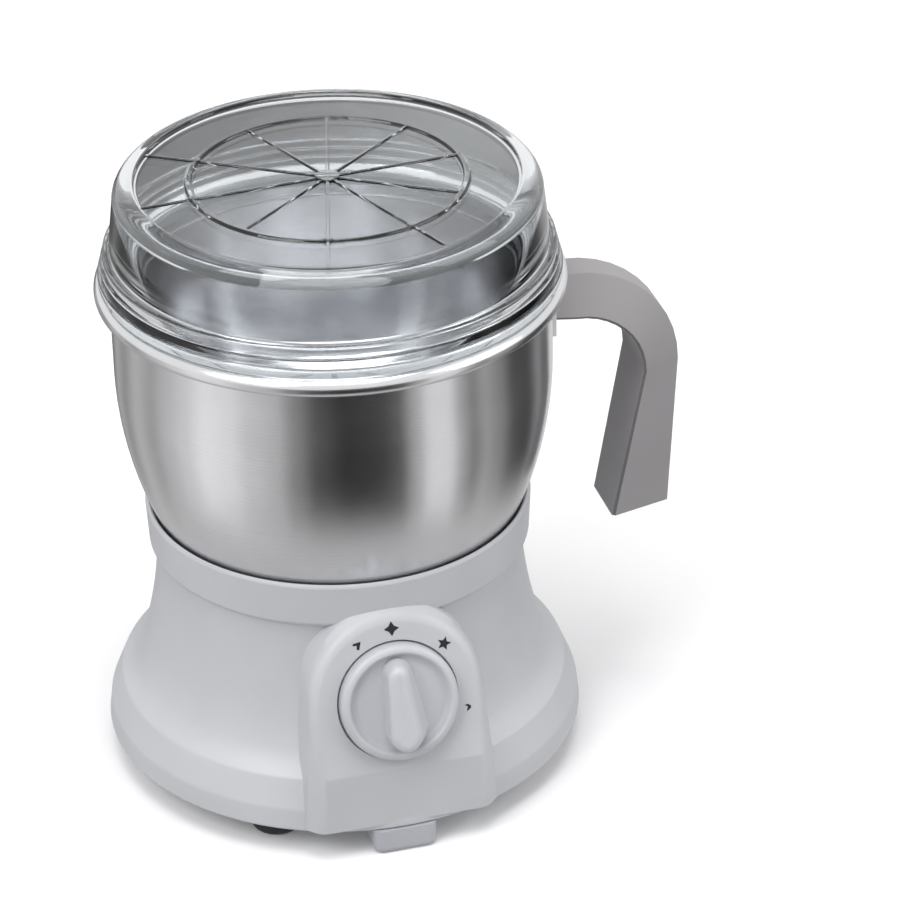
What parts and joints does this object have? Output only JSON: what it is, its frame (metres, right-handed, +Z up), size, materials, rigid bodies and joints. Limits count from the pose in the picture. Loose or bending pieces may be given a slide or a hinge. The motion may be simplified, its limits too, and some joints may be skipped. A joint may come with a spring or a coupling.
{
  "type": "electric spice grinder",
  "caption": "Electric spice grinder: grey bell-shaped base with a rotary knob, lift-off steel bowl with a side handle and a blade, and a clear lid.",
  "frame": {"origin": "on the bowl's axis at the height of the table it stands on", "axes": "+Z up along the axis of bowl and motor, control panel towards -Y, handle towards +X"},
  "size_m": [0.1443, 0.126, 0.1524],
  "materials": {
    "housing_plastic": "light grey moulded plastic, fine satin texture",
    "cover_plastic": "light grey moulded plastic",
    "knob_plastic": "satin grey plastic",
    "handle_plastic": "mid grey plastic",
    "foot_plastic": "dark grey plastic",
    "black_plastic": "black plastic",
    "white_plastic": "white plastic",
    "yellow_plastic": "yellow film capacitor case",
    "black_rubber": "black rubber",
    "seal_silicone": "translucent grey silicone",
    "clear_plastic": "clear polished plastic",
    "brushed_steel": "stainless steel, finely brushed round the axis",
    "blade_steel": "stainless steel",
    "bearing_steel": "ground steel",
    "screw_steel": "zinc plated steel",
    "plated_steel": "zinc plated sheet",
    "lamination_steel": "stacked laminations",
    "copper_wire": "enamelled copper wire",
    "copper_bars": "copper bars",
    "brass_parts": "brass sheet",
    "bronze": "sintered bronze",
    "carbon": "carbon brush",
    "turned_aluminium": "turned aluminium"
  },
  "bodies": {
    "base": {"upper_housing": "housing_plastic", "control_panel": "housing_plastic", "panel_screws": "screw_steel", "bottom_cover": "cover_plastic", "cover_screws": "screw_steel", "rubber_feet": "black_rubber", "cord_gland": "black_rubber", "rotary_switch": "black_plastic", "switch_terminals": "brass_parts", "switch_nut": "screw_steel", "terminal_block": "white_plastic", "noise_capacitor": "yellow_plastic", "thermal_fuse": "white_plastic", "lower_bearing": "bearing_steel", "upper_bearing": "bearing_steel", "lower_motor_bracket": "plated_steel", "upper_motor_bracket": "plated_steel", "motor_stator": "lamination_steel", "field_coils": "copper_wire", "stator_spacers": "plated_steel", "motor_mounts": "black_rubber", "motor_bolts": "screw_steel", "brush_holders": "brass_parts", "carbon_brushes": "carbon", "brush_springs": "screw_steel", "motor_seal": "black_rubber"},
    "knob": {"knob": "knob_plastic", "knob_spindle": "black_plastic"},
    "rotor": {"motor_shaft": "bearing_steel", "armature_core": "lamination_steel", "armature_winding": "copper_wire", "commutator": "copper_bars", "cooling_fan": "black_plastic", "drive_coupling": "black_plastic"},
    "bowl": {"steel_bowl": "brushed_steel", "bowl_foot": "foot_plastic", "foot_screws": "screw_steel", "bearing_housing": "turned_aluminium", "blade_bush": "bronze", "blade_seal": "black_rubber", "handle_bracket": "brushed_steel", "handle_grip": "handle_plastic", "handle_screw": "screw_steel"},
    "blade": {"driven_coupling": "black_plastic", "blade_shaft": "bearing_steel", "blade_collar": "bearing_steel", "cutting_blade": "blade_steel", "blade_nut": "screw_steel"},
    "lid": {"clear_lid": "clear_plastic", "lid_seal": "seal_silicone"}
  },
  "joints": [
    {"name": "rotor_spin", "type": "hinge", "parent": "base", "child": "rotor", "pos_m": [0, 0, 0.03], "axis": [0, 0, 1], "continuous": true},
    {"name": "knob_turn", "type": "hinge", "parent": "base", "child": "knob", "pos_m": [0, -0.054, 0.04], "axis": [0, -0.9659, 0.2588], "range_deg": [-96, 38]},
    {"name": "bowl_lift", "type": "slide", "parent": "base", "child": "bowl", "axis": [0, 0, 1], "range_m": [0, 0.09]},
    {"name": "blade_spin", "type": "hinge", "parent": "bowl", "child": "blade", "pos_m": [0, 0, 0.07], "axis": [0, 0, 1], "continuous": true},
    {"name": "lid_lift", "type": "slide", "parent": "bowl", "child": "lid", "axis": [0, 0, 1], "range_m": [0, 0.08]}
  ],
  "couplings": [
    {"joint": "blade_spin", "follows": "rotor_spin", "ratio": 1}
  ]
}
